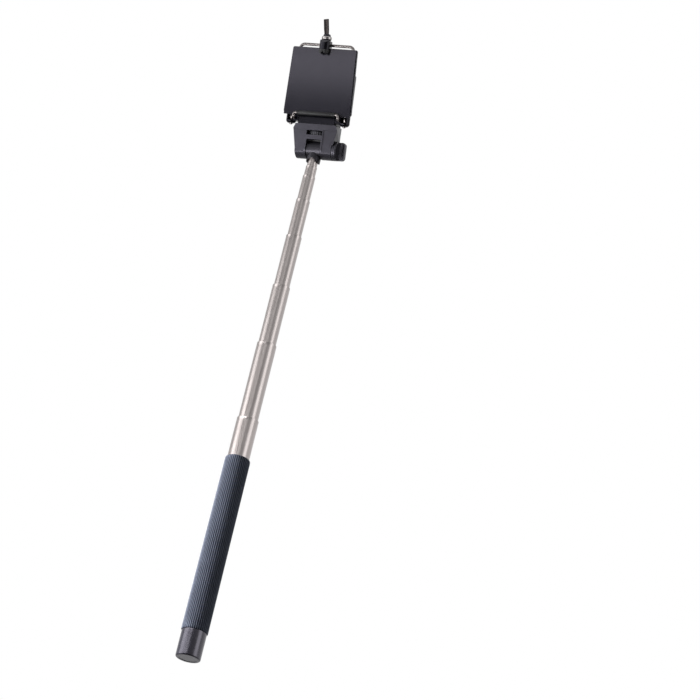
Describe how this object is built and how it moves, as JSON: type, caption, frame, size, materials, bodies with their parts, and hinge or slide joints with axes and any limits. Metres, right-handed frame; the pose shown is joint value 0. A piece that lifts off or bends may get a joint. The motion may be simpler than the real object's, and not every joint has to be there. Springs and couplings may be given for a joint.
{
  "type": "selfie stick",
  "caption": "Telescopic selfie stick: ribbed handle, nested steel tubes, tilting head with a wing knob and thumb wheel, and a sprung wire phone clamp with a pull tab.",
  "frame": {"origin": "centre of the end cap's flat bottom face, on the stick's axis", "axes": "+Z along the stick towards the phone holder, -Y towards the user (the phone's side), +X towards the wing knob"},
  "size_m": [0.0686, 0.0604, 0.6366],
  "materials": {
    "cap_gloss": "polished black",
    "grip_rubber": "fine lengthwise ribs, satin",
    "tube_steel": "drawn and lightly brushed along the tube",
    "bush_bronze": "plain",
    "black_plastic": "fine moulded grain",
    "head_plastic": "satin, fine moulded grain",
    "knob_plastic": "satin",
    "base_plastic": "semi-gloss black",
    "plate_plastic": "semi-gloss dark grey",
    "cushion_sheet": "smooth satin dark grey",
    "pad_rubber": "matte",
    "zinc_steel": "zinc plated",
    "dark_steel": "black oxide",
    "white_nylon": "natural nylon",
    "insert_brass": "turned",
    "wheel_metal": "knurled edge",
    "bright_wire": "bright drawn steel wire",
    "spring_steel": "drawn spring wire",
    "ferrule_chrome": "polished",
    "tab_leather": "brown-black, cut edges"
  },
  "bodies": {
    "handle": {"end_cap": "cap_gloss", "grip_sleeve": "grip_rubber", "tube_1": "tube_steel"},
    "section_2": {"tube_2": "tube_steel", "bush_2": "bush_bronze"},
    "section_3": {"tube_3": "tube_steel", "bush_3": "bush_bronze"},
    "section_4": {"tube_4": "tube_steel", "bush_4": "bush_bronze"},
    "section_5": {"tube_5": "tube_steel", "bush_5": "bush_bronze"},
    "section_6": {"tube_6": "tube_steel", "bush_6": "bush_bronze"},
    "section_7": {"tube_7": "tube_steel", "bush_7": "bush_bronze"},
    "top_bush": {"bush_8": "bush_bronze"},
    "mast": {"tube_8": "tube_steel", "knuckle": "black_plastic", "knuckle_rivet": "dark_steel"},
    "head": {"head_body": "head_plastic", "head_pad": "pad_rubber", "hinge_bolt": "zinc_steel", "friction_washers": "white_nylon", "knob_washer": "zinc_steel"},
    "knob": {"knob": "knob_plastic", "knob_insert": "insert_brass"},
    "wheel": {"thumb_wheel": "wheel_metal", "tripod_screw": "zinc_steel", "screw_clip": "dark_steel"},
    "holder": {"holder_base": "base_plastic", "threaded_insert": "insert_brass", "back_plate": "plate_plastic", "cushion": "cushion_sheet", "spring_housing": "base_plastic", "holder_screws": "dark_steel", "guide_bushes": "white_nylon", "lower_wire": "bright_wire", "lower_sleeve": "pad_rubber", "springs": "spring_steel"},
    "clamp": {"wire_frame": "bright_wire", "leg_stops": "dark_steel", "hook_body": "base_plastic", "hook_pad": "pad_rubber", "ferrule": "ferrule_chrome", "tab_collar": "black_plastic", "pull_tab": "tab_leather"}
  },
  "joints": [
    {"name": "extend_2", "type": "slide", "parent": "handle", "child": "section_2", "axis": [0, 0, 1], "range_m": [-0.074, 0.051]},
    {"name": "extend_3", "type": "slide", "parent": "section_2", "child": "section_3", "axis": [0, 0, 1], "range_m": [-0.0572, 0.0678]},
    {"name": "extend_4", "type": "slide", "parent": "section_3", "child": "section_4", "axis": [0, 0, 1], "range_m": [-0.0495, 0.0755]},
    {"name": "extend_5", "type": "slide", "parent": "section_4", "child": "section_5", "axis": [0, 0, 1], "range_m": [-0.0351, 0.0899]},
    {"name": "extend_6", "type": "slide", "parent": "section_5", "child": "section_6", "axis": [0, 0, 1], "range_m": [-0.0225, 0.1025]},
    {"name": "extend_7", "type": "slide", "parent": "section_6", "child": "section_7", "axis": [0, 0, 1], "range_m": [-0.0074, 0.1176]},
    {"name": "extend_8", "type": "slide", "parent": "section_7", "child": "top_bush", "axis": [0, 0, 1], "range_m": [-0.0018, 0.1232]},
    {"name": "head_swivel", "type": "hinge", "parent": "top_bush", "child": "mast", "pos_m": [0, 0, 0.5], "axis": [0, 0, 1], "continuous": true},
    {"name": "head_tilt", "type": "hinge", "parent": "mast", "child": "head", "pos_m": [0, 0, 0.52], "axis": [1, 0, 0], "range_deg": [-105, 75]},
    {"name": "knob_turn", "type": "hinge", "parent": "head", "child": "knob", "pos_m": [0.022, 0, 0.52], "axis": [1, 0, 0], "continuous": true},
    {"name": "wheel_turn", "type": "hinge", "parent": "head", "child": "wheel", "pos_m": [0, -0.00473, 0.53455], "axis": [0, -0.309, 0.9511], "continuous": true},
    {"name": "holder_turn", "type": "hinge", "parent": "head", "child": "holder", "pos_m": [0, -0.00743, 0.54287], "axis": [0, -0.309, 0.9511], "continuous": true},
    {"name": "clamp_slide", "type": "slide", "parent": "holder", "child": "clamp", "axis": [0, -0.309, 0.9511], "range_m": [0, 0.024], "stiffness_N_per_m": 300, "springref_m": -0.02, "deforming": ["springs"]}
  ]
}
